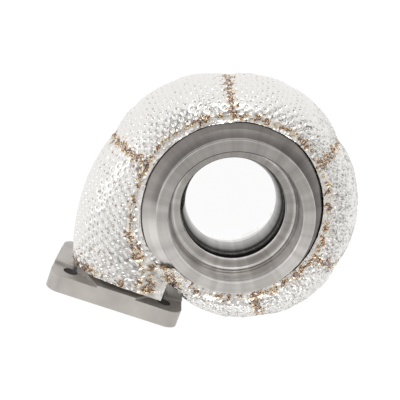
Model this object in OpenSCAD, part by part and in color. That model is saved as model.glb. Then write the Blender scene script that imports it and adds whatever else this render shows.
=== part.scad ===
/* [Turbine bore, on the turbine axis] */
// Height from the outlet face to the bearing-side face
body_h = 84; // [78:1:96]
// Width of the bearing-side face, from the pilot bore to the clamp rim's edge
face_w = 7.65; // [6.5:0.05:9]
// Radius of the pilot bore that the bearing housing plugs into
pilot_r = 41.6; // [40:0.1:43]
// Width of the cove between the pilot bore and the lip's face
cove_w = 3.4; // [2:0.1:4.5]
// Height of the cove
cove_h = 4; // [2:0.5:6]
// Depth of the lip's face, from the bearing-side face
lip_depth = 22.5; // [20:0.5:24]
// Radius inside the lip, over the turbine wheel's inlet
lip_r = 34.1; // [32:0.1:36]
// Thickness of the lip
lip_t = 3; // [2:0.5:4]
// Width of the nozzle slot that feeds the turbine wheel
nozzle_w = 8.5; // [7:0.5:10]
// Radius of the throat round the turbine wheel's outlet
throat_r = 31; // [28:0.25:32]
// Length of the straight throat
throat_len = 6; // [4:1:10]
// Width of the rounded shroud that leads into the throat
shroud_w = 4; // [2:0.5:5]
// Height of the rounded shroud
shroud_h = 10; // [6:1:12]
// Radius of the outlet bore
outlet_r = 37.5; // [35:0.5:39]
// Length of the straight outlet bore
outlet_len = 8; // [6:1:12]

/* [Clamp rims] */
// Thickness of a clamp rim at its edge
rim_t = 2.8; // [2:0.2:4]
// Depth of the clamp groove behind a rim
groove_d = 3.4; // [2:0.2:4]
// Width of the clamp groove at its floor
groove_w = 3.2; // [2.5:0.1:5]
// Angle of the rim's back face, from the rim's plane
clamp_angle = 20; // [10:1:30]
// Radius of the outlet clamp rim
outlet_rim_r = 45.5; // [44:0.5:48]
// Width of the shoulder that clears the bearing-side clamp, from the rim's edge
shoulder_w = 9.05; // [7:0.05:11]
// Thickness of the shoulder
shoulder_t = 9; // [6:0.5:12]

/* [Inlet flange] */
// Length of the flange plate
plate_l = 89; // [84:1:96]
// Depth of the flange plate, along the turbine axis
plate_w = 70; // [66:1:74]
// Thickness of the flange plate
plate_t = 12.7; // [10:0.1:16]
// Corner radius of the flange plate
plate_corner = 9; // [4:0.5:12]
// Bolt spacing along the plate
bolt_l = 64.3; // [60:0.1:68]
// Bolt spacing along the turbine axis
bolt_w = 45; // [42:0.1:48]
// Bolt hole diameter
bolt_d = 9.5; // [8:0.1:11]
// Radius of the cutter that milled the bolt seats
cutter_r = 42; // [40:0.5:43]
// Place of the cutter's centre outwards from a bolt, along the plate
cutter_l = 17.3; // [16:0.1:19]
// Place of the cutter's centre outwards from a bolt, along the turbine axis
cutter_w = 33.2; // [32:0.1:35]
// Depth of the milled seat
spot_depth = 1.5; // [0.5:0.1:3]
// Radius of the cast fillet between the neck and the plate
root_r = 9; // [5:0.5:9.5]
// Length of the gas port
port_l = 48; // [40:1:52]
// Height of the gas port
port_w = 34; // [28:1:40]
// Distance from the turbine axis to the flange's middle
inlet_x = 53.7; // [52:0.1:56]
// Distance from the turbine axis to the flange's face
inlet_y = 85.5; // [82:0.5:92]
// Height of the flange's middle over the outlet face
inlet_z = 41; // [39:0.5:44]

/* [Scroll] */
// Radius of the gas passage where the scroll starts
scroll_r = 20; // [17:0.5:21]
// Radius from the turbine axis to the inside of the gas passage
scroll_in = 39; // [38:0.5:42]
// Height of the scroll's middle over the outlet face
scroll_z = 43; // [41:0.5:45]
// Wall of the casting round the gas passage
wall = 5; // [4:0.5:5.5]

/* [Heat blanket] */
// Thickness of a foil, drawn thicker than the real 0.15 mm
foil_t = 0.8; // [0.5:0.1:1]
// Gap between the casting and the liner foil
liner_gap = 0.8; // [0.6:0.1:1]
// Reach of the blanket from the turbine axis, in the middle of its third gore
blanket_r = 85; // [84:0.5:88]
// Height of the blanket's top edge over the shoulder
edge_lift = 1.24; // [1:0.02:2]
// Height of the blanket's bottom edge over the outlet face
blanket_bottom = 8.2; // [7:0.1:9]
// Gap between the shoulder and the blanket's edge
edge_gap = 1; // [0.5:0.1:2]
// Swell of the last gore beyond the blanket's small end
last_swell = 7.8; // [5:0.5:9]
// Drop of the quilts' faces at the neck's end of the blanket
neck_drop = 3; // [0:0.5:4]
// Least thickness of a mat and its foil
least_mat = 2; // [1:0.5:3]
// Clearance between the edges of foils that don't touch
foil_gap = 0.3; // [0.1:0.1:0.4]
// Depth of the pinch at a seam
pinch = 2.4; // [0:0.2:3]
// Reach of the collar strip inwards over the shoulder, on the small side of the scroll
collar_lap = 9.4; // [3:0.2:9.6]
// Reach of the collar strip and the collar plate outwards under the quilts' edge
collar_w = 3.5; // [2:0.5:5]
// Gap between the outlet pipe and the collar plate
pipe_gap = 2.5; // [1:0.1:4]
// Gap between the neck's end of the blanket and the flange plate
neck_gap = 3; // [2:0.5:8]
// Gap between the blanket's small end and the flange plate
tail_gap = 6.8; // [5:0.1:9]

/* [Hidden] */

$fn = 96;
cut = 0.5;
chamfer = 0.6;

// The scroll starts at the end of the straight neck and turns clockwise, seen from the bearing side.
scroll_start = 180;
scroll_end = -120;
scroll_zero = -150;
// Sections of the casting: every few degrees, and along the neck
scroll_step = 15;
neck_steps = 5;
plate_y = inlet_y - plate_t;
rim_r = pilot_r + face_w;
shoulder_r = rim_r + shoulder_w;
seat_r = pilot_r - cove_w;
lip_z = body_h - lip_depth;
nozzle_top = lip_z - lip_t;
nozzle_z = nozzle_top - nozzle_w / 2;
throat_z = nozzle_top - nozzle_w;

// Share of the gas that is still in the scroll at an angle
function share(a) = (a - scroll_zero) / (scroll_start - scroll_zero);
function passage_r(a) = scroll_r * sqrt(share(a));
function passage_z(a) = scroll_z + (nozzle_z - scroll_z) * (1 - passage_r(a) / scroll_r);
function smooth(t) = let (c = max(0, min(1, t))) c * c * (3 - 2 * c);
function mix(p, q, t) = p + (q - p) * t;

// A place on the path: values above 0 are degrees round the scroll, counted from its start,
// and values below 0 are millimetres down the neck. It gives a base point and the outward direction.
function base(s) = s < 0 ? [0, s, 0] : [0, 0, 0];
function outward(s) = s < 0 ? [-1, 0, 0] : [cos(scroll_start - s), sin(scroll_start - s), 0];
function place(s, p) = base(s) + outward(s) * p[0] + [0, 0, p[1]];

// A rounded section of half sizes hx and hz, square for a high power
function signed_pow(v, e) = sign(v) * pow(abs(v), e);
function ring(cx, cz, hx, hz, power, sides) = [for (i = [0 : sides - 1])
    let (a = 360 * (i + 0.5) / sides)
    [cx + hx * signed_pow(cos(a), 2 / power), cz - hz * signed_pow(sin(a), 2 / power)]];

// Solid through a row of closed rings with equally many points. A layered ring goes out along
// one arc and back along another, and its quads are split alike on both, so that nested layers meet.
module loft(rings, layered = false) {
    n = len(rings[0]);
    last = len(rings) - 1;
    points = [for (r = rings) each r];
    sides = [for (k = [0 : last - 1], i = [0 : n - 1])
        let (p = k * n + i, q = k * n + (i + 1) % n)
        each layered && i >= n / 2 ? [[p, q, q + n], [p, q + n, p + n]] : [[p, q, p + n], [q, q + n, p + n]]];
    caps = layered ? [for (i = [0 : n / 2 - 2]) let (e = last * n)
            each [[n - 1 - i, n - 2 - i, i + 1, i], [e + i, e + i + 1, e + n - 2 - i, e + n - 1 - i]]]
        : [[for (i = [n - 1 : -1 : 0]) i], [for (i = [0 : n - 1]) last * n + i]];
    polyhedron(points, concat(sides, caps), convexity = 8);
}

// How far a neck section has turned from the scroll's circle to the flange's port, 0 to 1
function neck_turn(s) = s < 0 ? smooth(-s / plate_y) : 0;
function gas_ring(s, extra, sides) = let (t = neck_turn(s), a = scroll_start - max(0, s), r = passage_r(a))
    [for (p = ring(mix(scroll_in + r, inlet_x, t), mix(passage_z(a), inlet_z, t),
        mix(r, port_l / 2, t) + extra, mix(r, port_w / 2, t) + extra, mix(2, 3.6, t), sides))
        place(s, p)];
function neck_places(y) = [for (i = [0 : neck_steps - 1]) -y * (1 - i / neck_steps)];
// The neck flares in a cast fillet where it meets the plate
function flare(s) = let (d = min(root_r, max(0, plate_y + s))) root_r - sqrt(root_r * root_r - pow(root_r - d, 2));
function neck_flare(s) = s < 0 ? flare(s) : 0;
function root_places() = [for (a = [0 : 18 : 90]) -plate_y + root_r * (1 - cos(a))];
function scroll_places(a, b) = [for (d = [a : scroll_step : b]) d];
turn = scroll_start - scroll_end;
half_turn = 225;
tongue = 14;
passage_sides = 12;
wall_sides = 16;

module gas_passage() {
    loft([for (s = concat([-inlet_y - cut], neck_places(plate_y), scroll_places(0, turn - tongue)))
        gas_ring(s, 0, passage_sides)]);
}

// The scroll's small end is a loft of its own, because it runs into the neck beside it
module scroll_outside() {
    loft([for (s = concat([-plate_y - 1], root_places(), [-0.6, -0.4, -0.2] * (plate_y - root_r),
        scroll_places(0, half_turn))) gas_ring(s, wall + neck_flare(s), wall_sides)]);
    loft([for (s = scroll_places(half_turn - 4, turn)) gas_ring(s, wall, wall_sides)]);
}

// Half profile of a clamp rim, from its face inwards: straight edge, sloping back and groove floor
function rim_profile(r, face, dir) = [
    [r - chamfer, face],
    [r, face - dir * chamfer],
    [r, face - dir * rim_t],
    [r - groove_d, face - dir * (rim_t + groove_d * tan(clamp_angle))]];
shoulder_z = body_h - rim_t - groove_d * tan(clamp_angle) - groove_w;
pipe_r = outlet_rim_r - groove_d;
core_r = scroll_in - 2;
lip_wall_r = scroll_in + 5;
slot_r = scroll_in + 7;

// The bearing-side end and the outlet end stay clear of the gas passage between them
module turned_ends() {
    top = rim_profile(rim_r, body_h, 1);
    low = rim_profile(outlet_rim_r, 0, -1);
    rotate_extrude() polygon(concat(
        [[throat_r - 4, nozzle_top], [lip_wall_r, nozzle_top], [lip_wall_r, shoulder_z - shoulder_t - 4],
        [shoulder_r, shoulder_z - shoulder_t], [shoulder_r, shoulder_z - 1],
        [shoulder_r - 3.6, shoulder_z]],
        [for (i = [3 : -1 : 0]) top[i]],
        [[throat_r - 4, body_h]]));
    rotate_extrude() polygon(concat(
        [[throat_r - 4, 0]], low,
        [[pipe_r, scroll_z - scroll_r - wall + 2], [core_r, scroll_z - scroll_r + 3], [core_r, throat_z],
        [throat_r - 4, throat_z]]));
}

module turned_bores() {
    rotate_extrude() polygon([
        [0, -cut], [outlet_r + cut, -cut], [outlet_r, 0], [outlet_r, outlet_len],
        [throat_r, throat_z - shroud_h - throat_len],
        for (a = [0 : 10 : 90]) [throat_r + shroud_w * (1 - cos(a)), throat_z - shroud_h * (1 - sin(a))],
        [slot_r, throat_z], [slot_r, nozzle_top],
        [lip_r, nozzle_top], [lip_r, lip_z - 0.4], [lip_r + 0.4, lip_z],
        for (a = [0 : 10 : 90]) [seat_r + cove_w * sin(a), lip_z + cove_h * (1 - cos(a))],
        [pilot_r, body_h - chamfer], [pilot_r + chamfer, body_h], [pilot_r + chamfer, body_h + cut],
        [0, body_h + cut]]);
}

// Things that repeat at the four bolts of the inlet flange
module at_bolts() {
    for (x = [-1, 1], z = [-1, 1])
        translate([-inlet_x + x * bolt_l / 2, -inlet_y, inlet_z + z * bolt_w / 2])
            rotate([-90, 0, 0]) children();
}

module flange_plate() {
    hx = plate_l / 2 - plate_corner;
    hz = plate_w / 2 - plate_corner;
    translate([-inlet_x, -plate_y, inlet_z]) rotate([90, 0, 0]) {
        translate([-hx, -plate_w / 2, 0]) cube([2 * hx, plate_w, plate_t]);
        translate([-plate_l / 2, -hz, 0]) cube([plate_l, 2 * hz, plate_t]);
        for (x = [-hx, hx], z = [-hz, hz]) translate([x, z, 0]) cylinder(r = plate_corner, h = plate_t);
    }
}

// A wide cutter mills each bolt's seat across the plate's corner, and bites into the cast fillet
module bolt_cuts() {
    at_bolts() translate([0, 0, -cut]) cylinder(d = bolt_d, h = plate_t + 2 * cut);
    for (x = [-1, 1], z = [-1, 1])
        translate([-inlet_x + x * (bolt_l / 2 + cutter_l), -plate_y - spot_depth,
            inlet_z + z * (bolt_w / 2 + cutter_w)])
            rotate([-90, 0, 0]) cylinder(r = cutter_r, h = spot_depth + root_r);
}

module housing_casting() color("silver") difference() {
    union() {
        difference() {
            union() {
                scroll_outside();
                flange_plate();
            }
            gas_passage();
            bolt_cuts();
        }
        turned_ends();
    }
    turned_bores();
}

// Seams of the blanket, in path places: down the neck, then degrees round the scroll
blanket_y = plate_y - neck_gap;
seams = [-blanket_y, 12, 68, 127, 190, 237, 290];
// Reach of the blanket at each seam, and in the middle of the gore after it, as shares of its radius.
// The last gore ends over the flange plate, so its reach comes from the plate.
seam_reach = concat(blanket_r * [1.035, 1.082, 1.018, 0.976, 0.98, 0.935], plate_y - tail_gap);
gore_reach = concat(blanket_r * [1.129, 1.056, 1.007, 0.98, 0.971], plate_y - tail_gap + last_swell);
// Heights of the quilts' faces and of the liner's faces inside them
blanket_top = shoulder_z + edge_lift;
liner_top = scroll_z + scroll_r + wall + liner_gap;
liner_bottom = scroll_z - scroll_r - wall - liner_gap;
neck_half = port_w / 2 + wall + liner_gap;
// Sections of a gore, in shares of its length
gore_shares = [0, 0.06, 0.2, 0.35, 0.5, 0.65, 0.8, 0.93, 1];
arc_steps = 6;
edge_r = shoulder_r + edge_gap;
low_edge_r = edge_r - 1.3;
neck_edge = inlet_x - port_l / 2 - wall + foil_gap;

// Where the open edge of the blanket lies: a circle round the shoulder, then straight down the neck
function edge_at(s, r) = s < 0 ? max(neck_edge + r - edge_r, sqrt(max(0, r * r - s * s))) : r;
function gore_mid(g) = (seams[g] + seams[g + 1]) / 2;
// A gore's reach: a parabola through its two seams and its middle
function reach(g, t) = mix(seam_reach[g], seam_reach[g + 1], t)
    + 4 * t * (1 - t) * (gore_reach[g] - (seam_reach[g] + seam_reach[g + 1]) / 2);
// No pinch at the edge beside the flange
function pillow(g, t) = g == 0 && t < 0.5 ? 1 : 1 - pow(abs(2 * t - 1), 4);

// Reach of the casting at a place
function casting_reach(s) = let (t = neck_turn(s), r = passage_r(scroll_start - max(0, s)))
    mix(scroll_in + 2 * r, inlet_x + port_l / 2, t) + wall + neck_flare(s);

// One open arc of the blanket at a place, from the bearing-side edge round to the outlet-side edge
function arc(s, far, up, down, power) = let (mid = scroll_z, a = edge_at(s, edge_r), b = edge_at(s, low_edge_r))
    concat(
        [for (i = [0 : arc_steps]) let (w = 90 * i / arc_steps)
            [a + (far - a) * signed_pow(sin(w), 2 / power), mid + (up - mid) * signed_pow(cos(w), 2 / power)]],
        [for (i = [1 : arc_steps]) let (w = 90 + 90 * i / arc_steps)
            [b + (far - b) * signed_pow(sin(w), 2 / power), mid + (down - mid) * signed_pow(-cos(w), 2 / power)]]);

// Layer 0 is the face of the casting's gap, 1 the liner's outside, 2 the mat's outside, 3 the foil's outside
function layer_arc(g, t, layer) = let (
        s = mix(seams[g], seams[g + 1], t),
        turned = neck_turn(s),
        power = mix(2, layer < 2 ? 5 : 3.2, turned),
        drop = neck_drop * turned,
        liner_up = mix(liner_top, inlet_z + neck_half, turned) + neck_flare(s) + layer * foil_t,
        liner_down = mix(liner_bottom, inlet_z - neck_half, turned) - neck_flare(s) - layer * foil_t,
        inner = max(casting_reach(s) + liner_gap, edge_at(s, edge_r) + 1.4) + (layer == 0 ? 0 : foil_t),
        outer = max(reach(g, t) - pinch * (1 - pillow(g, t)), inner + least_mat) - (layer == 2 ? foil_t : 0),
        up = layer < 2 ? liner_up : blanket_top - (3 - layer) * foil_t - drop,
        down = layer < 2 ? liner_down : blanket_bottom + (3 - layer) * foil_t + drop)
    [for (p = arc(s, layer < 2 ? inner : outer, up, down, power)) place(s, p)];

module gore(g, low, high) {
    loft([for (t = gore_shares) let (in = layer_arc(g, t, low), out = layer_arc(g, t, high))
        concat(out, [for (i = [len(in) - 1 : -1 : 0]) in[i]])], true);
}
module outer_foil(g) color("gainsboro") gore(g, 2, 3);
module fibre_mat(g) color("wheat") gore(g, 1, 2);
module liner_foil(g) color("lightgray") gore(g, 0, 1);

// The collar strip laps over the shoulder on the small side of the scroll: the lap grows slowly
// with the angle on one side of its full stretch, and ends steeply beside the neck
lap_start = -142;
lap_full = -115;
lap_slow = -85;
lap_end = 72;
function lap(a) = collar_lap * (a > lap_slow ? 1 - pow(min(1, (a - lap_slow) / (lap_end - lap_slow)), 1.6)
    : smooth((a - lap_start) / (lap_full - lap_start)));

module bearing_collar_strip() color("whitesmoke") translate([0, 0, blanket_top]) linear_extrude(foil_t)
    difference() {
        circle(r = edge_r + collar_w);
        polygon([for (a = [-180 : 6 : 174]) (edge_r - lap(a)) * [cos(a), sin(a)]]);
    }

module outlet_collar_plate() color("whitesmoke") translate([0, 0, blanket_bottom - foil_t])
    linear_extrude(foil_t) difference() {
        circle(r = low_edge_r + collar_w);
        circle(r = pipe_r + pipe_gap);
    }

module outlet_mat_ring() color("wheat") translate([0, 0, blanket_bottom])
    linear_extrude(liner_bottom - blanket_bottom - foil_t) difference() {
        circle(r = low_edge_r - liner_gap);
        circle(r = pipe_r + pipe_gap + foil_gap);
    }

// The folded edge of the foil over the neck, beside the flange
module inlet_edge_strip() color("whitesmoke") {
    shares = [gore_shares[0], gore_shares[1]];
    loft([for (t = shares) let (in = layer_arc(0, t, 3),
            mid = place(mix(seams[0], seams[1], t), [inlet_x, scroll_z]),
            out = [for (p = in) p + foil_t * (p - mid) / norm(p - mid)])
        concat(out, [for (i = [len(in) - 1 : -1 : 0]) in[i]])], true);
}

housing_casting();
outer_foil(0);  // outer_foil_1
outer_foil(1);  // outer_foil_2
outer_foil(2);  // outer_foil_3
outer_foil(3);  // outer_foil_4
outer_foil(4);  // outer_foil_5
outer_foil(5);  // outer_foil_6
fibre_mat(0);  // fibre_mat_1
fibre_mat(1);  // fibre_mat_2
fibre_mat(2);  // fibre_mat_3
fibre_mat(3);  // fibre_mat_4
fibre_mat(4);  // fibre_mat_5
fibre_mat(5);  // fibre_mat_6
liner_foil(0);  // liner_foil_1
liner_foil(1);  // liner_foil_2
liner_foil(2);  // liner_foil_3
liner_foil(3);  // liner_foil_4
liner_foil(4);  // liner_foil_5
liner_foil(5);  // liner_foil_6
bearing_collar_strip();
outlet_collar_plate();
outlet_mat_ring();
inlet_edge_strip();
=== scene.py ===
# %% [markdown]
# # Turbine housing in a heat blanket
#
# The object is the exhaust side of a small turbocharger. A cast steel scroll leads hot gas
# round to a wheel in the middle. A quilt of thin embossed foil is welded round the scroll to
# keep the heat in. This lesson dresses the housing's CAD model: bare machined steel for the
# casting, crinkled bright foil for the blanket, and rows of small heat-tinted welds.
#
# Every size is in millimetres, and `MM` turns it into metres.

import math

import bmesh
import bpy
import numpy as np
from mathutils import Matrix, Vector
from mathutils.bvhtree import BVHTree


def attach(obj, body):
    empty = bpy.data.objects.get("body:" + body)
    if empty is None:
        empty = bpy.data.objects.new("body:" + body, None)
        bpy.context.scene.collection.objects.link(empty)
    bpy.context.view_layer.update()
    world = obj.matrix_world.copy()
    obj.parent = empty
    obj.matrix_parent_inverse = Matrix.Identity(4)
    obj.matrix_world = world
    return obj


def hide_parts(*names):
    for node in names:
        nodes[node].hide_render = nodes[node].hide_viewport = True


MM = 0.001
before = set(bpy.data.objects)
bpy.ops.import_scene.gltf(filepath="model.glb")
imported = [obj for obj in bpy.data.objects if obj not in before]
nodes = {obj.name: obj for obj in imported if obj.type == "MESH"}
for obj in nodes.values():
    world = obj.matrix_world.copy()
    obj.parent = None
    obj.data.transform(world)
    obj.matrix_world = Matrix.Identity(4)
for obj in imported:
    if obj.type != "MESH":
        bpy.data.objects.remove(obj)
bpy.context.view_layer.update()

# %% [markdown]
# ## The camera
# The photographer stood a little behind the housing and looked almost straight down at the
# bearing side. A lens of 63 mm on a 36 mm sensor gives the same widening towards the viewer as
# the photograph. The camera's place and its three directions were found from the round edges
# and the flange, whose real sizes are known.

# %% The camera
camera_data = bpy.data.cameras.new("camera")
camera_data.lens = 63
camera_data.sensor_width = 36
camera_data.clip_start, camera_data.clip_end = 0.01, 20
camera = bpy.data.objects.new("camera", camera_data)
bpy.context.scene.collection.objects.link(camera)
camera_place = Vector((-71.52, 99.27, 496.46)) * MM
look = Vector((0.10915, -0.22385, -0.96849)).normalized()
right = look.cross(Vector((-0.32424, 0.913, -0.24757))).normalized()
up = right.cross(look)
turn = Matrix((right, up, -look)).transposed().to_4x4()
camera.matrix_world = Matrix.Translation(camera_place) @ turn
bpy.context.scene.camera = camera
bpy.context.scene.view_settings.view_transform = "Standard"
print("camera", round(camera_place.length / MM), "mm from the outlet face")

# %% [markdown]
# ## Colours and nodes
# Artists pick colours on a screen, as sRGB hex values. The renderer counts light, so one
# function turns the first into the second. A second function adds a node with its settings
# and its links. Two more speak a painter's language: a zone is a mask that says where a finish
# is, and layers are colours painted over each other, each inside its own mask.


# %% Colour and node helpers
def tone(hex_code):
    """Linear colour, with alpha, of an sRGB hex code."""
    parts = [int(hex_code[i : i + 2], 16) / 255 for i in (1, 3, 5)]
    return [c / 12.92 if c <= 0.04045 else ((c + 0.055) / 1.055) ** 2.4 for c in parts] + [1.0]


def add(tree, kind, inputs=None, out=0, stops=None, **settings):
    """An output of a new node, or the node itself where out is None.

    An input's value is a number, a colour, or another node's output. Stops are the places and
    the hex codes of a colour ramp.
    """
    node = tree.nodes.new("ShaderNode" + kind)
    for name, value in settings.items():
        setattr(node, name, value)
    for name, value in (inputs or {}).items():
        if isinstance(value, bpy.types.NodeSocket):
            tree.links.new(value, node.inputs[name])
        else:
            node.inputs[name].default_value = value
    if stops:
        band = node.color_ramp.elements
        for element, (place, code) in zip(band, (stops[0], stops[-1])):
            element.position, element.color = place, tone(code)
        for place, code in stops[1:-1]:
            band.new(place).color = tone(code)
    return node if out is None else node.outputs[out]


def new_material(name):
    """An empty material, its node tree and its surface input."""
    material = bpy.data.materials.new(name)
    material.use_nodes = True
    tree = material.node_tree
    tree.nodes.clear()
    return material, tree, add(tree, "OutputMaterial", out=None).inputs["Surface"]


def zone(tree, *limits, within=None, unit=MM):
    """A mask: 1 where each value has gone from its start to its end, with a soft edge between."""
    mask = within
    for value, start, end in limits:
        step = add(tree, "MapRange", {"Value": value, "From Min": start * unit, "From Max": end * unit},
            interpolation_type="SMOOTHSTEP")
        mask = step if mask is None else add(tree, "Math", {0: mask, 1: step}, operation="MULTIPLY")
    return mask


def layered(tree, colour, *layers):
    """A colour painted over in layers, each a mask and the colour that shows where it is 1."""
    for mask, paint in layers:
        colour = add(tree, "Mix", {"Factor": mask, 6: colour, 7: paint}, out=2, data_type="RGBA")
    return colour


print("a middle grey, #808080, sends back", round(tone("#808080")[0], 2), "of the light")

# %% [markdown]
# ## The casting's steel
# The housing is cast from heat-resistant steel. Its skin is blasted, so it is matt and warm
# grey. The faces that seal are cut on a lathe: a fine spiral groove stays behind, too fine to
# see as lines, which draws every reflection out into a bright spoke that points at the axis.
# An anisotropic metal does that when its tangent runs round the axis. One material does both,
# because the CAD casting is one piece: the radius and the height say where the lathe has been.


# %% Where a point of the casting lies
def far_from(tree, value, middle):
    """How far a value is from a middle in mm, on either side."""
    offset = add(tree, "Math", {0: value, 1: middle * MM}, operation="SUBTRACT")
    return add(tree, "Math", {0: offset}, operation="ABSOLUTE")


casting_finish, tree, surface = new_material("cast_and_turned_steel")
place = add(tree, "TexCoord", out="Object")
axes = add(tree, "SeparateXYZ", {"Vector": place}, out=None).outputs
across, along, height = axes["X"], axes["Y"], axes["Z"]
flat = add(tree, "CombineXYZ", {"X": across, "Y": along})
radius = add(tree, "VectorMath", {0: flat}, out="Value", operation="LENGTH")
outward = add(tree, "VectorMath", {0: flat}, operation="NORMALIZE")
facing = add(tree, "SeparateXYZ", {"Vector": outward}, out="Y")
flange_side = add(tree, "Math", {0: facing, 1: -1.0}, operation="MULTIPLY")
print("casting: place, radius and facing from", len(tree.nodes), "nodes")

# %% [markdown]
# The masks come first, from the drawing's radii and heights: where the lathe turned the metal,
# where the drill went through the flange, and where the gas left its soot. Inside the bolt holes
# and down in the nozzle slot the colour also carries painted shade. The soot's edge is ragged,
# because the grit's noise shifts the height that it starts at.

# %% Where the lathe, the drill and the soot have been
INLET_X, PORT_Z = 53.7, 41.0
PORT_HALF_LENGTH, PORT_HALF_WIDTH = 24.2, 17.2
BOLT_L, BOLT_W, BOLT_R = 64.3, 45.0, 4.7
GRIT = 1.0
RAGGED = 7.0

rim = zone(tree, (height, 66, 67), (radius, 58.7, 58.5))
bore = zone(tree, (radius, 46.5, 46.2))
outlet_end = zone(tree, (height, 9, 8), (radius, 47, 46.8))
turned = add(tree, "Math", {0: rim, 1: bore}, operation="MAXIMUM")
turned = add(tree, "Math", {0: turned, 1: outlet_end}, operation="MAXIMUM")
port_across, port_tall = far_from(tree, across, -INLET_X), far_from(tree, height, PORT_Z)
port = zone(tree, (port_across, PORT_HALF_LENGTH, PORT_HALF_LENGTH - 0.3),
    (port_tall, PORT_HALF_WIDTH, PORT_HALF_WIDTH - 0.3))
from_bolt = add(tree, "CombineXYZ", {
    "X": add(tree, "Math", {0: port_across, 1: BOLT_L / 2 * MM}, operation="SUBTRACT"),
    "Y": add(tree, "Math", {0: port_tall, 1: BOLT_W / 2 * MM}, operation="SUBTRACT")})
from_bolt = add(tree, "VectorMath", {0: from_bolt}, out="Value", operation="LENGTH")
# Inside the bolt holes the colour is darkened as painted shade
bolt_hole_shade = zone(tree, (from_bolt, BOLT_R + 0.15, BOLT_R), (along, -71, -72))
grit = add(tree, "TexNoise", {"Vector": place, "Scale": 1 / (GRIT * MM), "Detail": 3.0, "Roughness": 0.7})
ragged_height = add(tree, "Math", {0: grit, 1: RAGGED * MM, 2: height}, operation="MULTIPLY_ADD")
nozzle = zone(tree, (ragged_height, 51.5, 54.5), (height, 58.7, 58.3), (radius, 58, 54))
print("casting: masks for 3 turned zones, 4 bolt holes, the port and the nozzle slot")

# %% [markdown]
# Turned metal is the brightest. Painted shade makes it darker down in the throat and in a thin
# line for a fine groove in the bore, where it would see little of the room, and painted light
# makes the bore lighter near the outlet end, where the white floor would light it. The shoulder
# is greyer, with painted shade darkest next to the rim and a painted highlight on the side
# towards the flange. The real feed leaves about ten marks to a millimetre, too fine to show, so
# it is drawn about four times coarser.

# %% Colours of the turned faces
LATHE_MARK = 1 / 2.4
GROOVE_Z, GROOVE_HALF = 80.6, 0.5

rings = add(tree, "CombineXYZ", {"X": radius, "Y": height})
marks = add(tree, "TexNoise", {"Vector": rings, "Scale": 1 / (LATHE_MARK * MM), "Detail": 2.0})
bright = add(tree, "ValToRGB", {"Fac": marks}, stops=[(0.3, "#B9B6B3"), (0.7, "#C6C3C0")])
# Painted shade: the throat gets darker with height, down where it would see little of the room
lower = add(tree, "Math", {0: zone(tree, (height, 29, 32)), 1: 0.6}, operation="MULTIPLY")
upper = zone(tree, (height, 32, 48))
throat_shade = add(tree, "Math", {0: upper, 1: 0.4, 2: lower}, operation="MULTIPLY_ADD")
throat_shade = zone(tree, (radius, 40, 37), (height, 55, 54), within=throat_shade)
# Painted shade: a thin dark line where a fine groove runs round the bore near its top
groove_shade = zone(tree, (far_from(tree, height, GROOVE_Z), GROOVE_HALF, GROOVE_HALF - 0.3), (radius, 43, 42.6))
# Painted light: the bore is lighter near the outlet end, where the white floor would light it
walls = layered(tree, bright, (throat_shade, tone("#828180")), (zone(tree, (height, 16, 9)), tone("#F0EEEB")),
    (groove_shade, tone("#73716F")))
# The shoulder: painted shade darkest next to the rim, and a painted highlight towards the flange
shoulder = layered(tree, tone("#7C7876"), (zone(tree, (radius, 50, 56)), tone("#A19C98")),
    (zone(tree, (flange_side, 0.05, 0.45), unit=1), tone("#C9C6C2")))
bright = layered(tree, walls, (zone(tree, (radius, 49.3, 49.4), within=rim), shoulder))
print("turned faces:", len(tree.nodes), "nodes so far")

# %% [markdown]
# A painted reflection makes the turned metal lighter on the side towards the flange, and faint
# painted spokes of highlight and shade run out from the axis. The blasted skin has soft clouds
# of two close greys, and soot is nearly black with worn specks of metal, with painted shade
# added where it fills the deep nozzle slot.

# %% Spokes, skin and soot
CLOUD = 1 / 0.06
SPOKES_ROUND = 6.0

# Painted spokes of highlight and shade, round the axis
painted_spokes = add(tree, "TexNoise", {"Vector": outward, "Scale": SPOKES_ROUND, "Detail": 3.0})
painted_spokes = add(tree, "MapRange", {"Value": painted_spokes, "From Min": 0.35, "From Max": 0.65, "To Min": 0.93,
    "To Max": 1.17}, interpolation_type="SMOOTHSTEP")
# Painted reflection: lighter towards the flange, times the painted spokes
glow = add(tree, "Math", {0: flange_side, 1: 0.2, 2: painted_spokes}, operation="MULTIPLY_ADD")
bright = add(tree, "Mix", {"Factor": 1.0, 6: bright, 7: glow}, out=2, data_type="RGBA", blend_type="MULTIPLY")
clouds = add(tree, "TexNoise", {"Vector": place, "Scale": 1 / (CLOUD * MM), "Detail": 4.0})
dull = add(tree, "ValToRGB", {"Fac": clouds}, stops=[(0.3, "#B5B0AB"), (0.7, "#C9C4BF")])
# Soot, with painted shade where it fills the deep nozzle slot
soot_and_shade = add(tree, "ValToRGB", {"Fac": grit}, stops=[(0.38, "#121212"), (0.5, "#343332"), (0.62, "#8E8A86")])
colour = layered(tree, dull, (turned, bright), (nozzle, soot_and_shade), (port, soot_and_shade), (bolt_hole_shade, tone("#5E5C5B")))
print("skin and soot:", len(tree.nodes), "nodes so far")

# %% [markdown]
# The blasted skin is rough, so it has no clear reflection, and it is part oxide, so it counts
# as less than full metal. Turned metal is smoother, and its reflections stretch across the
# marks. Soot is roughest of all. That is what lets the eye tell the three apart.

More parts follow.
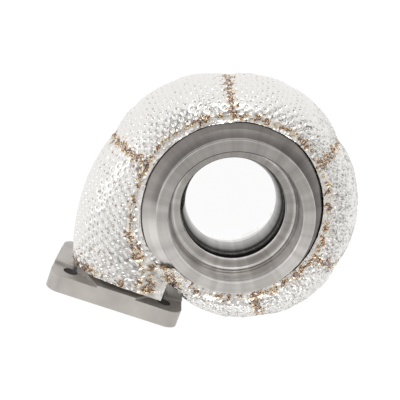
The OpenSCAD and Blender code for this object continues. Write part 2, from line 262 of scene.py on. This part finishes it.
# %% Gloss and bump of the casting
rough = add(tree, "MapRange", {"Value": grit, "From Min": 0.3, "From Max": 0.7, "To Min": 0.42,
    "To Max": 0.56}, interpolation_type="SMOOTHSTEP")
rough = add(tree, "Mix", {"Factor": turned, 2: rough, 3: 0.3})
soot = add(tree, "Math", {0: nozzle, 1: port}, operation="MAXIMUM")
rough = add(tree, "Mix", {"Factor": soot, 2: rough, 3: 0.8})
metal = add(tree, "Mix", {"Factor": turned, 2: 0.65, 3: 1.0})
depth = add(tree, "Mix", {"Factor": turned, 2: grit, 3: marks})
bump = add(tree, "Bump", {"Height": depth, "Strength": 0.14, "Distance": 0.06 * MM})
round_axis = add(tree, "VectorMath", {0: (0.0, 0.0, 1.0), 1: flat}, operation="CROSS_PRODUCT")
tangent = add(tree, "VectorMath", {0: round_axis}, operation="NORMALIZE")
shader = add(tree, "BsdfPrincipled", {"Base Color": colour, "Metallic": metal, "Roughness": rough,
    "Anisotropic": 0.7, "Tangent": tangent, "Normal": bump})
tree.links.new(shader, surface)
print("cast and turned steel:", len(tree.nodes), "nodes")

# %% [markdown]
# ## The foil
# The blanket's skin is stainless steel foil, pressed between rollers into rows of small domes
# so that it can bend both ways. It is very bright, and every dome mirrors the whole room, so
# from a distance it sparkles white and grey. Each small weld leaves a ring of heat colours:
# straw where the steel got warm, then brown, purple and blue towards the middle. The mesh
# carries a value called weld_heat, and a colour ramp turns it into those colours. A second
# value is 1 in the dips between the domes, in the valleys between crinkles and along creases:
# there a darker colour is painted in as shade.

# %% Embossed stainless foil
WRINKLE, DULL_PATCH, TINT_SPECK = 1.25, 1 / 0.22, 1 / 1.3

foil_finish, tree, surface = new_material("embossed_stainless_foil")
place = add(tree, "TexCoord", out="Object")
wrinkles = add(tree, "TexNoise", {"Vector": place, "Scale": 1 / (WRINKLE * MM), "Detail": 3.0, "Roughness": 0.6})
patches = add(tree, "TexNoise", {"Vector": place, "Scale": 1 / (DULL_PATCH * MM), "Detail": 2.0})
specks = add(tree, "TexNoise", {"Vector": place, "Scale": 1 / (TINT_SPECK * MM), "Detail": 2.0})
specks = add(tree, "MapRange", {"Value": specks, "From Min": 0.36, "From Max": 0.62, "To Min": 0.25,
    "To Max": 1.25}, interpolation_type="SMOOTHSTEP")
heat = add(tree, "Attribute", out="Fac", attribute_name="weld_heat")
heat = add(tree, "Math", {0: heat, 1: specks}, operation="MULTIPLY")
tint = add(tree, "ValToRGB", {"Fac": heat}, stops=[(0.0, "#EBE9E6"), (0.17, "#E8E4DE"), (0.26, "#D8C490"),
    (0.35, "#B88A46"), (0.46, "#86542E"), (0.56, "#6E3E3E"), (0.68, "#604460"), (0.82, "#858897"),
    (1.0, "#D8D3CC")])
# Painted shade: a darker colour in the dips between domes, the crinkles' valleys and the creases
dip_shade = add(tree, "Attribute", out="Fac", attribute_name="dip_shade")
dip_shade = add(tree, "Math", {0: dip_shade, 1: 0.66}, operation="MULTIPLY")
tint = layered(tree, tint, (dip_shade, tone("#6A6663")))
rough = add(tree, "MapRange", {"Value": patches, "From Min": 0.3, "From Max": 0.7, "To Min": 0.14,
    "To Max": 0.28}, interpolation_type="SMOOTHSTEP")
bump = add(tree, "Bump", {"Height": wrinkles, "Strength": 0.18, "Distance": 0.25 * MM})
shader = add(tree, "BsdfPrincipled", {"Base Color": tint, "Metallic": 1.0, "Roughness": rough, "Normal": bump})
tree.links.new(shader, surface)
print("embossed stainless foil:", len(tree.nodes), "nodes")

# %% [markdown]
# ## What lies under the foil
# A plain liner foil keeps the fibres off the hot casting. It is stainless steel that heat has
# dulled, so the eye gets a soft grey shine with slow waves in it. A needled mat of silica
# fibre fills each quilt. It has no shine at all, only pale, tangled threads. Both are hidden
# but for a glimpse at the open edges. A thread is far too thin to show, so the mat's noise is
# drawn about a hundred times coarser than the fibres.

# %% Plain liner foil
WAVE = 1 / 0.09

liner_finish, tree, surface = new_material("plain_liner_foil")
place = add(tree, "TexCoord", out="Object")
waves = add(tree, "TexNoise", {"Vector": place, "Scale": 1 / (WAVE * MM), "Detail": 4.0})
colour = add(tree, "ValToRGB", {"Fac": waves}, stops=[(0.3, "#8B8782"), (0.7, "#B1ADA8")])
bump = add(tree, "Bump", {"Height": waves, "Strength": 0.4, "Distance": 0.4 * MM})
shader = add(tree, "BsdfPrincipled", {"Base Color": colour, "Metallic": 1.0, "Roughness": 0.35, "Normal": bump})
tree.links.new(shader, surface)
print("plain liner foil:", len(tree.nodes), "nodes")

# %% Needled fibre mat
TANGLE = 1 / 0.9

mat_finish, tree, surface = new_material("needled_silica_fibre")
place = add(tree, "TexCoord", out="Object")
fibres = add(tree, "TexNoise", {"Vector": place, "Scale": 1 / (TANGLE * MM), "Detail": 5.0, "Distortion": 1.5})
colour = add(tree, "ValToRGB", {"Fac": fibres}, stops=[(0.3, "#A79F8C"), (0.7, "#D8D1BF")])
bump = add(tree, "Bump", {"Height": fibres, "Strength": 0.8, "Distance": 0.4 * MM})
shader = add(tree, "BsdfPrincipled", {"Base Color": colour, "Roughness": 0.95, "Normal": bump})
tree.links.new(shader, surface)
print("needled fibre mat:", len(tree.nodes), "nodes")

# %% Finishes on the CAD nodes
finishes = {"housing": casting_finish, "liner": liner_finish, "fibre": mat_finish}
for name, node in nodes.items():
    finish = mat_finish if name == "outlet_mat_ring" else finishes.get(name.split("_")[0], foil_finish)
    node.data.materials.clear()
    node.data.materials.append(finish)
    print(name, "gets", finish.name)

# %% [markdown]
# ## The shape of the quilt
# The blanket follows the scroll. A place on it has two numbers: how far along the scroll it
# is (millimetres down the neck below zero, then degrees round the axis), and how far round the
# section it is, from the edge on the bearing side to the edge on the outlet side. The same few
# sizes as in the CAD model give the reach at each seam and in the middle of each gore.

# %% Sizes of the quilt
TOP, BOTTOM, MIDDLE = 78.0, 8.2, 43.0
PLATE_Y, NECK_GAP, TAIL_GAP = 72.8, 3.0, 6.8
NECK_END, TAIL_END = PLATE_Y - NECK_GAP, PLATE_Y - TAIL_GAP
SEAMS = [-NECK_END, 12, 68, 127, 190, 237, 290]
REACH = 85
SEAM_REACH = [REACH * k for k in (1.035, 1.082, 1.018, 0.976, 0.98, 0.935)] + [TAIL_END]
GORE_REACH = [REACH * k for k in (1.129, 1.056, 1.007, 0.98, 0.971)] + [TAIL_END + 7.8]
# How far the seams pinch the quilt in, and the opening's radius on either side
PINCH, EDGE_R, OUTLET_EDGE_R = 2.4, 59.3, 58.0
# How far the foil laps over the shoulder at most, and the length of section that it is part of
LAP, SECTION = 9.4, 95
# How much lower and how much squarer the section is where the neck meets the flange
NECK_DROP, NECK_SQUARE = 3, 1.2
print("the blanket reaches", round(max(GORE_REACH)), "mm from the axis")


def smooth(t):
    """0 below 0, 1 above 1, and a soft rise between."""
    t = np.clip(t, 0, 1)
    return t * t * (3 - 2 * t)


def power(value, exponent):
    """A power that keeps the sign."""
    return np.sign(value) * np.abs(value) ** exponent


def lap(angle):
    """How far the foil reaches inwards over the shoulder: most on the small side of the scroll."""
    slow = 1 - np.clip((angle + 85) / 157, 0, 1) ** 1.6
    steep = 1 - smooth((-115 - angle) / 27)
    return LAP * np.where(angle > -85, slow, steep)


def edge_radius(s, r):
    """Distance of the quilt's edge from the axis: a circle, then straight down the neck."""
    port_half, wall, gap = 24, 5, 0.3
    neck = INLET_X - port_half - wall + gap + r - EDGE_R
    down = np.sqrt(np.clip(r * r - s * s, 0, None))
    return np.where(s < 0, np.maximum(neck, down), r)


# %% [markdown]
# The section is a squashed circle: sine and cosine of one angle, each to a power that makes it
# squarer on the neck. The lap is the first, flat part of it.


# %% A point on the quilt
def quilt(g, t, w):
    """Points in mm of gore g at the share t along it and the share w round its section."""
    start, end = SEAMS[g], SEAMS[g + 1]
    s = start + (end - start) * t
    turned = np.where(s < 0, smooth(-s / PLATE_Y), 0)
    low, high = SEAM_REACH[g], SEAM_REACH[g + 1]
    reach = low + (high - low) * t + 4 * t * (1 - t) * (GORE_REACH[g] - (low + high) / 2)
    plump = 1 - np.abs(2 * t - 1) ** 4
    if g == 0:
        plump = np.where(t < 0.5, 1, plump)
    reach = reach - PINCH * (1 - plump)
    above = w < 0.5
    near = np.where(above, edge_radius(s, EDGE_R), edge_radius(s, OUTLET_EDGE_R))
    rise = np.where(above, TOP - NECK_DROP * turned - MIDDLE, MIDDLE - BOTTOM - NECK_DROP * turned)
    over = lap(180 - s - 360 * (s > 360)) * (s > 0)
    hem = over / (over + SECTION)
    bend = math.pi * np.clip((w - hem) / (1 - hem), 0, 1)
    exponent = 2 / (2 + NECK_SQUARE * turned)
    lapped = over * np.clip(1 - w / np.maximum(hem, 1e-6), 0, 1)
    out = near + (reach - near) * power(np.sin(bend), exponent) - lapped
    tall = MIDDLE + rise * power(np.cos(bend), exponent)
    angle = np.radians(180 - np.maximum(s, 0))
    x = np.where(s < 0, -out, out * np.cos(angle))
    y = np.where(s < 0, s, out * np.sin(angle))
    return np.stack([x, y, tall], axis=-1)


def quilt_normals(g, t, w):
    """Unit normals of the quilt, from small steps both ways."""
    step = 1e-3
    along = quilt(g, np.minimum(t + step, 1), w) - quilt(g, np.maximum(t - step, 0), w)
    round_ = quilt(g, t, np.minimum(w + step, 1)) - quilt(g, t, np.maximum(w - step, 0))
    normal = np.cross(round_, along)
    return normal / np.linalg.norm(normal, axis=-1, keepdims=True)


def quilt_size(g):
    """Length and girth of a gore in mm, measured along its middle lines."""
    run, mid = np.linspace(0, 1, 60), np.full(60, 0.5)
    length = np.linalg.norm(np.diff(quilt(g, run, mid), axis=0), axis=1).sum()
    girth = np.linalg.norm(np.diff(quilt(g, mid, run), axis=0), axis=1).sum()
    return length, girth


print("gores, length x girth in mm:", [tuple(round(size) for size in quilt_size(g)) for g in range(6)])

# %% [markdown]
# Foil that is bent by hand never repeats itself. A sum of a few waves that run in random
# directions, with a fixed seed, gives soft hills of one typical width, the same in each run.


# %% Crumples
def hills(length, seed, count=18):
    """Soft random hills of about this wavelength in mm, between about -1 and 1."""
    chance = np.random.default_rng(seed)
    ways = chance.normal(size=(count, 3))
    ways *= (2 * math.pi / length * chance.uniform(0.7, 1.4, count) / np.linalg.norm(ways, axis=1))[:, None]
    starts = chance.uniform(0, 2 * math.pi, count)
    return lambda points: np.sin(points @ ways.T + starts).sum(axis=1) / math.sqrt(count / 2) / 1.6


broad, lumps, fine, ragged = hills(17, 1), hills(6, 2), hills(2.6, 3), hills(3.2, 4)
worms, twists = hills(6.5, 5), hills(4.2, 6)
axis = np.zeros((1, 3))
print("broad, lumps and fine at the axis:", [round(float(rise(axis)[0]), 2) for rise in (broad, lumps, fine)])

# %% [markdown]
# ## The welds
# Small resistance welds hold the foil down: a row along every seam, and a row along every open
# edge. A weld is only a place, a size and a strength. Every foil mesh asks how near each of its
# points is to a weld, so the heat colours run across from one gore to the next.

# %% The rows of welds
WELD_PITCH = 2.4
# From the foil's edge to its row of welds, and the same where the foil laps the shoulder
EDGE_ROW, LAP_ROW = 5.2, 3.2
# Hotter welds on the seams, and bigger ones on the lap
HOTTER, BIGGER = (0, 0, 0, 0.25, 0.25), (0, 0, 0, 0.4, 0.1)


def weld_row(g, t, w, jitter, chance):
    """Welds at these shares, shifted a little, with random sizes and strengths."""
    points = quilt(g, np.array(t), np.array(w)) + chance.normal(0, jitter, (len(t), 3))
    return np.column_stack([points, chance.uniform(0.7, 1.8, len(t)), chance.uniform(0.15, 0.95, len(t))])


chance = np.random.default_rng(11)
rows = []
for g in range(6):
    length, girth = quilt_size(g)
    for row in range(2):
        w = np.arange(5 / girth, 1 - 4 / girth, WELD_PITCH / girth)
        rows.append(weld_row(g, np.full(len(w), 1 - row * 1.6 / length), w, 0.8, chance) + HOTTER)
    t = np.arange(2 / length, 1, WELD_PITCH / length)
    if g < 2:
        rows.append(weld_row(g, t, np.full(len(t), EDGE_ROW / girth), 0.5, chance))
    else:
        single = t[::2] if g < 5 else t[::4]
        rows.append(weld_row(g, single, np.full(len(single), LAP_ROW / girth), 0.6, chance) + BIGGER)
    rows.append(weld_row(g, t, np.full(len(t), 1 - EDGE_ROW / girth), 0.5, chance))
print(len(rows), "rows of welds on the gores")

# %% [markdown]
# The neck has more welds: a row along the folded strip above the flange, and a ragged one along
# its inner edge. The crumpled tongue beside it was tacked down wherever it would hold.

# %% Welds of the neck and the tongue
length, girth = quilt_size(0)
w = np.arange(3 / girth, 1 - 3 / girth, 4.4 / girth)
rows.append(weld_row(0, np.full(len(w), 3.6 / length), w, 0.6, chance))
t = np.arange(1 / length, 34 / length, 1.6 / length)
rows.append(weld_row(0, t, np.full(len(t), 3 / girth), 1.6, chance) + (0, 0, 0, 0.4, 0.15))
tacks = 26
tongue = np.radians(chance.uniform(-126, -106, tacks))
reach = chance.uniform(51, 62, tacks)
rows.append(np.column_stack([reach * np.cos(tongue), reach * np.sin(tongue), chance.uniform(74, 79, tacks),
    chance.uniform(0.9, 1.9, tacks), chance.uniform(0.3, 1.0, tacks)]))
welds = np.concatenate(rows)
print(len(welds), "welds")
# Past this distance a weld leaves no heat, and its dent is this wide from the middle
HEAT_REACH, DENT_R = 6, 0.9


def weld_heat(points):
    """Heat from 0 to 1 at these points, and how deep each lies in a weld's dent."""
    heat, dent = np.zeros(len(points)), np.zeros(len(points))
    low, high = points.min(axis=0) - HEAT_REACH, points.max(axis=0) + HEAT_REACH
    stretch = 1 + 0.45 * ragged(points) + 0.2 * fine(points)
    for x, y, z, size, strength in welds[((welds[:, :3] > low) & (welds[:, :3] < high)).all(axis=1)]:
        far = np.linalg.norm(points - (x, y, z), axis=1)
        heat = np.maximum(heat, strength * np.exp(-((far * stretch / size) ** 2) * 0.8))
        dent = np.maximum(dent, np.exp(-((far / DENT_R) ** 2)))
    return heat, dent


# %% [markdown]
# ## The foil meshes
# Each mesh starts as a fine flat grid. Its points are bent over the quilt and then lifted
# along the surface's normal: domes where the foil is smooth, worm-like crinkles where it was
# squeezed, folds that fan out from the seams, and a dent at each weld.

# %% Making one sheet of foil
WELD_DENT = 0.3


def sheet(name, columns, rows, shape, replaced):
    """A foil mesh. Shape turns shares along and across it into points, normals, lifts and a painted shade for its
    dips.
    """
    bm = bmesh.new()
    bmesh.ops.create_grid(bm, x_segments=columns, y_segments=rows, size=0.5)
    flat = np.clip(np.array([v.co[:2] for v in bm.verts]) + 0.5, 0, 1)
    points, normals, lift, dip_shade = shape(flat[:, 0], flat[:, 1])
    heat, dent = weld_heat(points)
    points = points + normals * (lift - WELD_DENT * dent)[:, None]
    for vert, point in zip(bm.verts, points):
        vert.co = point * MM
    bmesh.ops.recalc_face_normals(bm, faces=bm.faces)
    mesh = bpy.data.meshes.new(name)
    bm.to_mesh(mesh)
    bm.free()
    for label, values in (("weld_heat", heat), ("dip_shade", dip_shade)):
        mesh.attributes.new(label, "FLOAT", "POINT").data.foreach_set("value", values.astype(np.float32))
    mesh.polygons.foreach_set("use_smooth", [True] * len(mesh.polygons))
    mesh.materials.append(foil_finish)
    piece = bpy.data.objects.new(name, mesh)
    bpy.context.scene.collection.objects.link(piece)
    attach(piece, "root")
    if replaced:
        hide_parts(replaced)
    print(f"{name}: {len(mesh.polygons) * 2} triangles, box {np.ptp(points, axis=0).round(1)} mm")


def soft_lift(points):
    """Slow bulges that every foil shares, so that they stay one above the other."""
    return 0.2 * broad(points) + 0.1 * lumps(points)


# %% [markdown]
# A few sharp creases show on the real blanket, two near the upper seam and three where the neck
# was handled. Each is a straight line between two places: a narrow valley with a low, soft
# ridge on both sides, as a pressed crease has.

# %% Creases pressed into the foil
CREASES = [((-53.7, 60.8, 75), (-45.5, 60.8, 77)), ((-45.5, 60.8, 77), (-34.6, 57.2, 78)),
    ((-79.5, -58.4, 70), (-69.4, -68, 62)), ((-83.5, -61.3, 64), (-73.9, -67.4, 60)),
    ((-76, -56, 72), (-66, -66, 66))]
CREASE_DEPTH, CREASE_WIDTH = 0.9, 0.55
RIDGE_HEIGHT, RIDGE_PLACE, RIDGE_WIDTH = 0.25, 1.4, 0.6


def creases(points):
    """Depth in mm of the creases at these points."""
    depth = np.zeros(len(points))
    for start, end in CREASES:
        start, way = np.array(start, float), np.subtract(end, start)
        share = np.clip((points - start) @ way / (way @ way), 0, 1)
        # Only the distance across the foil counts, seen from above
        off = np.linalg.norm((points - start - share[:, None] * way)[:, :2], axis=1)
        near = np.abs(points[:, 2] - start[2]) < 14
        valley = CREASE_DEPTH * np.exp(-((off / CREASE_WIDTH) ** 2))
        ridge = RIDGE_HEIGHT * np.exp(-(((off - RIDGE_PLACE) / RIDGE_WIDTH) ** 2))
        depth = np.maximum(depth, near * (valley - ridge))
    return depth


print(len(CREASES), "creases, the deepest", CREASE_DEPTH, "mm")

# %% [markdown]
# On the big side of the scroll the domes stand in neat diagonal rows. Towards the small side
# the same foil had to fit a tighter bend, so the domes were squeezed flat and crinkles took
# their place. One number, squeezed, blends from the first to the second.

# %% The six gores
CELL = 0.45
DOME_PITCH, DOME_HEIGHT = 5.0, 0.55
CRINKLE_HEIGHT, TIGHT_PULL, DEEPEST = 0.6, 0.4, -0.8
# Where the bend starts to get tight and over how much it does, in degrees round the scroll
TIGHT_FROM, TIGHT_OVER = 85, 45


def gore_shape(g):
    """The shape of gore g for sheet(), and how many cells it needs each way."""
    length, girth = quilt_size(g)

    def shape(t, w):
        points, normals = quilt(g, t, w), quilt_normals(g, t, w)
        u, v = t * length, w * girth
        # The neck's end is no seam, so nothing pulls there
        from_seam = np.minimum(u + (99 if g == 0 else 0), length - u)
        from_edge = np.minimum(v, girth - v)
        tight = smooth((SEAMS[g] + (SEAMS[g + 1] - SEAMS[g]) * t - TIGHT_FROM) / TIGHT_OVER)
        squeezed = np.clip(0.08 + 0.9 * tight + (0.15 + 0.45 * tight) * np.exp(-from_edge / 9), 0, 1)
        squeezed *= 0.75 + 0.25 * broad(points)
        # Domes in diagonal rows, and crinkles along the lines where the hills cross zero
        wave = 2 * math.pi / DOME_PITCH / math.sqrt(2)
        pattern = (np.cos(wave * (u + v)) + np.cos(wave * (u - v))) / 2
        domes = smooth((pattern - 0.1) / 0.7) + 0.12 * pattern
        crinkle = np.clip(1 - 2.4 * np.abs(worms(points)), 0, 1) + np.clip(1 - 2.4 * np.abs(twists(points)), 0, 1)
        quiet = smooth((from_edge - 4.5) / 3.0) * (0.3 + 0.7 * smooth(from_seam / 3.0))
        folds = np.sin(v / 0.75 + 1.7 * np.sin(v / 5 + g)) * np.exp(-from_seam / 4.5) * 0.3
        raised = DOME_HEIGHT * domes * (1 - 0.65 * squeezed) + CRINKLE_HEIGHT * squeezed * np.minimum(crinkle, 1.0)
        lift = 0.1 + soft_lift(points) + 0.04 * fine(points) + quiet * raised
        lift += folds * smooth((from_edge - 3) / 4) - creases(points) - TIGHT_PULL * tight
        # Painted shade: dark dips between the domes, dark valleys between the crinkles, and the creases
        dip_shade = smooth((-0.7 - pattern) / 0.25) * np.clip(0.35 + 0.9 * broad(points), 0.1, 1)
        valley = squeezed * tight * smooth((0.3 - crinkle) / 0.3) * np.clip(0.7 + fine(points), 0, 1)
        dip_shade = np.maximum(dip_shade * (1 - 0.5 * squeezed), valley) * quiet + 0.4 * (creases(points) > 0.5)
        return points, normals, np.maximum(lift, DEEPEST), dip_shade

    return shape, int(length / CELL), int(girth / CELL)


for g in range(6):
    shape, columns, rows = gore_shape(g)
    sheet(f"foil_gore_{g + 1}", columns, rows, shape, f"outer_foil_{g + 1}")

# %% [markdown]
# ## The hem round the opening
# On the real blanket a thin strip is folded over the raw edges of all six gores. It is a ring
# whose inner edge curls down and waves a little where nothing holds it. It reads the same reach
# and the same slow bulges as the gores, so it stays on top of them.

# %% The hem round the opening
HEM_WIDTH, HEM_CURL, HEM_LIFT = 4.2, 1.1, 0.5
# Beside the neck the quilt's side is straight, as if the scroll reached this far
NECK_REACH = 92


def hem_shape(t, w):
    angle = 360 * t - 180
    s = 180 - angle
    # It waves at the top and between the neck and the bottom, and lies flat elsewhere
    free = smooth((np.abs(angle) - 60) / 20) * smooth((150 - angle) / 20)
    wavy = 0.5 + 0.35 * np.sin(np.radians(angle * 7) + 2 * np.sin(np.radians(angle * 3)))
    out = EDGE_R - lap(angle) - free * wavy + HEM_WIDTH * w
    x, y = out * np.cos(np.radians(angle)), out * np.sin(np.radians(angle))
    on_neck = s > SEAMS[-1]
    turned = np.where(on_neck, smooth(-y / PLATE_Y), 0)
    near = np.where(on_neck, edge_radius(np.where(on_neck, y, 0), EDGE_R), EDGE_R)
    reach = np.where(on_neck, NECK_REACH, np.interp(s, SEAMS[1:], SEAM_REACH[1:]))
    across = np.clip((np.where(on_neck, -x, out) - near) / (reach - near), 0, 0.95)
    bulge = 2 + NECK_SQUARE * turned
    rise = TOP - NECK_DROP * turned - MIDDLE
    z = MIDDLE + rise * (1 - across**bulge) ** (1 / bulge) - HEM_CURL * (1 - w) ** 2
    points = np.stack([x, y, z], axis=-1)
    ripple = 0.12 * np.sin(angle * 1.9 + 3 * np.sin(angle / 9)) * w
    lift = HEM_LIFT + soft_lift(points) + 0.1 * fine(points) + ripple
    return points, np.tile([0.0, 0.0, 1.0], (len(t), 1)), lift, np.zeros(len(t))


sheet("opening_hem", 800, 9, hem_shape, "bearing_collar_strip")

# %% [markdown]
# ## The strip above the flange
# A second strip closes the blanket at the neck's end. Its edge is rolled over and rippled,
# because it was pressed round the neck by hand.

# %% The folded strip at the neck's end
STRIP_WIDTH, STRIP_LIFT = 4.4, 0.75


def strip_shape(t, w):
    length, girth = quilt_size(0)
    share = t * STRIP_WIDTH / length
    points, normals = quilt(0, share, w), quilt_normals(0, share, w)
    rolled = 0.5 * np.sin(math.pi * np.clip(t * 1.6, 0, 1))
    ripple = 0.25 * np.sin(w * girth / 0.8 + 2 * np.sin(w * girth / 6)) * t
    lift = STRIP_LIFT + rolled + ripple + soft_lift(points) + 0.1 * fine(points)
    return points, normals, lift, np.zeros(len(t))


sheet("neck_strip", 12, 420, strip_shape, "inlet_edge_strip")

# %% [markdown]
# ## The crumpled tongue
# Where the scroll's thin end meets the neck, the last gore ends in a crumpled tongue of foil that
# is hammered down over the shoulder. Rays cast down at the casting find the height it lies at.

# %% The crumpled tongue
casting_rays = BVHTree.FromObject(nodes["housing_casting"], bpy.context.evaluated_depsgraph_get())
TONGUE_FROM, TONGUE_OVER = -127, 24
TONGUE_LIFT = 0.7


def tongue_shape(t, w):
    angle = np.radians(TONGUE_FROM + TONGUE_OVER * t)
    # Its inner edge starts further out beside the neck, and its outer edge wanders
    inner = 50.3 + 6.5 * smooth(1 - t / 0.4)
    outer = 60.5 + 2.5 * t + 0.8 * np.sin(14 * t)
    out = inner + (outer - inner) * w
    x, y = out * np.cos(angle), out * np.sin(angle)
    z = np.empty(len(t))
    for i in range(len(t)):
        hit = casting_rays.ray_cast(Vector((x[i], y[i], 200)) * MM, Vector((0, 0, -1)))[0]
        # It rests on the casting, or bridges to the quilt's slope where the casting drops away
        z[i] = max(hit.z / MM if hit else 0, 79 - 0.9 * max(out[i] - 55, 0)) + TONGUE_LIFT
    points = np.stack([x, y, z], axis=-1)
    crumple = 0.5 * np.abs(ragged(points)) + 0.45 * np.abs(fine(points)) + 0.3 * np.sin(x * 2.1 - y * 1.3)
    # The last value is painted shade in the crumples' dips
    return points, np.tile([0.0, 0.0, 1.0], (len(t), 1)), crumple, 0.7 * smooth(0.25 - np.abs(ragged(points)))


sheet("crumpled_tongue", 110, 50, tongue_shape, None)

# %% [markdown]
# ## The room
# A white floor and a wide soft room, as in a product photographer's tent. Metal shows only what
# it mirrors, so the room is white low down, where the quilt looks, and greyer overhead, where
# the machined faces look. The floor is white paper. It glows a little less than white where it
# is looked at or mirrored, and keeps the housing's soft shadow.

# %% Floor
FLOOR_HALF = 3.0
FLOOR_DROP = 0.3 * MM
floor_bm = bmesh.new()
bmesh.ops.create_grid(floor_bm, x_segments=1, y_segments=1, size=FLOOR_HALF)
bmesh.ops.translate(floor_bm, verts=floor_bm.verts, vec=(0, 0, -FLOOR_DROP))
floor_mesh = bpy.data.meshes.new("floor")
floor_bm.to_mesh(floor_mesh)
floor_bm.free()
floor = bpy.data.objects.new("floor", floor_mesh)
bpy.context.scene.collection.objects.link(floor)

paper, tree, surface = new_material("white_paper")
rays = add(tree, "LightPath", out=None).outputs
looked_at = add(tree, "Math", {0: rays["Is Camera Ray"], 1: rays["Is Glossy Ray"]}, operation="MAXIMUM")
looked_at = add(tree, "Math", {0: looked_at, 1: rays["Is Transmission Ray"]}, operation="MAXIMUM")
matt_white = add(tree, "BsdfDiffuse", {"Color": tone("#F4F4F4")})
shadow = add(tree, "BsdfDiffuse", {"Color": tone("#606060")})
glow = add(tree, "Emission", {"Color": tone("#FFFFFF"), "Strength": 0.93})
glowing = add(tree, "AddShader", {0: shadow, 1: glow})
tree.links.new(add(tree, "MixShader", {0: looked_at, 1: matt_white, 2: glowing}), surface)
floor_mesh.materials.append(paper)
print("floor", 2 * FLOOR_HALF, "m wide")

# %% [markdown]
# The tent is white up to the height that a camera beside the housing can see. Above that its
# cloth has darker folds, which a bright metal needs, or it would look like white plastic. Its
# roof is a soft grey, with a round gap for the lens.

# %% The tent
world = bpy.data.worlds.new("studio")
bpy.context.scene.world = world
world.use_nodes = True
tree = world.node_tree
tree.nodes.clear()
direction = add(tree, "TexCoord", out="Generated")
height = add(tree, "SeparateXYZ", {"Vector": direction}, out="Z")
folds = add(tree, "TexNoise", {"Vector": direction, "Scale": 3.0, "Detail": 1.0})
folds = add(tree, "ValToRGB", {"Fac": folds}, stops=[(0.36, "#6E6C6A"), (0.44, "#FFFFFF")])
cloth = add(tree, "ValToRGB", {"Fac": height}, stops=[(0.15, "#FFFFFF"), (0.6, "#FAFAFA"),
    (0.86, "#EEEDEC"), (0.95, "#DEDCDA"), (1.0, "#C6C4C2")])
cloth = add(tree, "Mix", {"Factor": 1.0, 6: cloth, 7: folds}, out=2, data_type="RGBA", blend_type="MULTIPLY")
lens_way = add(tree, "VectorMath", {0: direction, 1: tuple(-look)}, out="Value", operation="DOT_PRODUCT")
cloth = layered(tree, cloth, (zone(tree, (lens_way, 0.985, 0.996), unit=1), tone("#7A7876")))
cloth = layered(tree, tone("#F8F8F8"), (zone(tree, (height, 0.27, 0.36), unit=1), cloth))
room = add(tree, "Background", {"Color": cloth, "Strength": 1.07})
tree.links.new(room, add(tree, "OutputWorld", out=None).inputs["Surface"])
print("tent:", len(tree.nodes), "nodes")

# %% [markdown]
# Two weak lamps light the housing from behind and from before, and a weaker one from the left.
# They give the metal its few bright spots, and most of the light still comes from the tent.

# %% Lamps
LAMP_SIZE = 0.35
for name, place, watts in (("lamp_behind", (-0.25, 0.75, 0.85), 0.9),
        ("lamp_before", (0.28, -0.75, 0.85), 0.9), ("lamp_left", (-1.0, -0.1, 0.45), 0.3)):
    data = bpy.data.lights.new(name, "AREA")
    data.shape, data.size, data.energy = "SQUARE", LAMP_SIZE, watts
    lamp = bpy.data.objects.new(name, data)
    bpy.context.scene.collection.objects.link(lamp)
    lamp.location = place
    lamp.rotation_euler = (Vector((0, 0, 0.04)) - Vector(place)).to_track_quat("-Z", "Y").to_euler()
    print(name, watts, "W")
